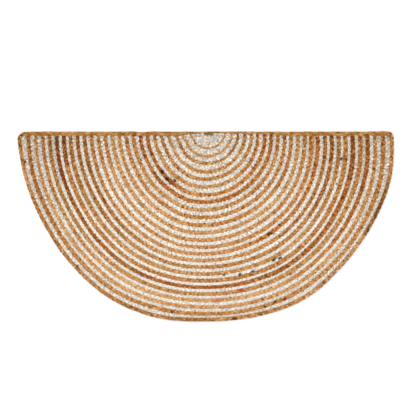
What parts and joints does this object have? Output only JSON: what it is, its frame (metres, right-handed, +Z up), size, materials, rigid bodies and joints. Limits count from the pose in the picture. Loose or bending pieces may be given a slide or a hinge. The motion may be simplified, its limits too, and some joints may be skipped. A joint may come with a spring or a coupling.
{
  "type": "half-round jute doormat",
  "caption": "Flat half-round doormat of plaited jute, half rings of natural and white plait sewn side by side, with one plait round the edge.",
  "frame": {"origin": "middle of the mat's base, on the surface it lies on, halfway along both sides of its outline", "axes": "+X along the straight side, left to right as seen from above; +Y towards the straight side; +Z up"},
  "size_m": [0.903, 0.4556, 0.0085],
  "materials": {
    "natural_jute": "plaited, fibrous, matt",
    "white_jute": "plaited, bleached, matt",
    "edge_jute": "plaited, fibrous, matt"
  },
  "bodies": {
    "root": {"white_core_1": "white_jute", "white_core_2": "white_jute", "white_core_3": "white_jute", "natural_plait_01": "natural_jute", "white_plait_01": "white_jute", "natural_plait_02": "natural_jute", "white_plait_02": "white_jute", "natural_plait_03": "natural_jute", "white_plait_03": "white_jute", "natural_plait_04": "natural_jute", "white_plait_04": "white_jute", "natural_plait_05": "natural_jute", "white_plait_05": "white_jute", "natural_plait_06": "natural_jute", "white_plait_06": "white_jute", "natural_plait_07": "natural_jute", "white_plait_07": "white_jute", "natural_plait_08": "natural_jute", "white_plait_08": "white_jute", "natural_plait_09": "natural_jute", "white_plait_09": "white_jute", "natural_plait_10": "natural_jute", "white_plait_10": "white_jute", "natural_plait_11": "natural_jute", "white_plait_11": "white_jute", "natural_plait_12": "natural_jute", "white_plait_12": "white_jute", "natural_plait_13": "natural_jute", "white_plait_13": "white_jute", "natural_plait_14": "natural_jute", "white_plait_14": "white_jute", "natural_plait_15": "natural_jute", "white_plait_15": "white_jute", "natural_plait_16": "natural_jute", "white_plait_16": "white_jute", "natural_plait_17": "natural_jute", "white_plait_17": "white_jute", "natural_plait_18": "natural_jute", "white_plait_18": "white_jute", "natural_plait_19": "natural_jute", "white_plait_19": "white_jute", "natural_plait_20": "natural_jute", "white_plait_20": "white_jute", "natural_plait_21": "natural_jute", "white_plait_21": "white_jute", "natural_plait_22": "natural_jute", "white_plait_22": "white_jute", "natural_plait_23": "natural_jute", "white_plait_23": "white_jute", "natural_plait_24": "natural_jute", "white_plait_24": "white_jute", "edge_plait": "edge_jute"}
  },
  "joints": []
}
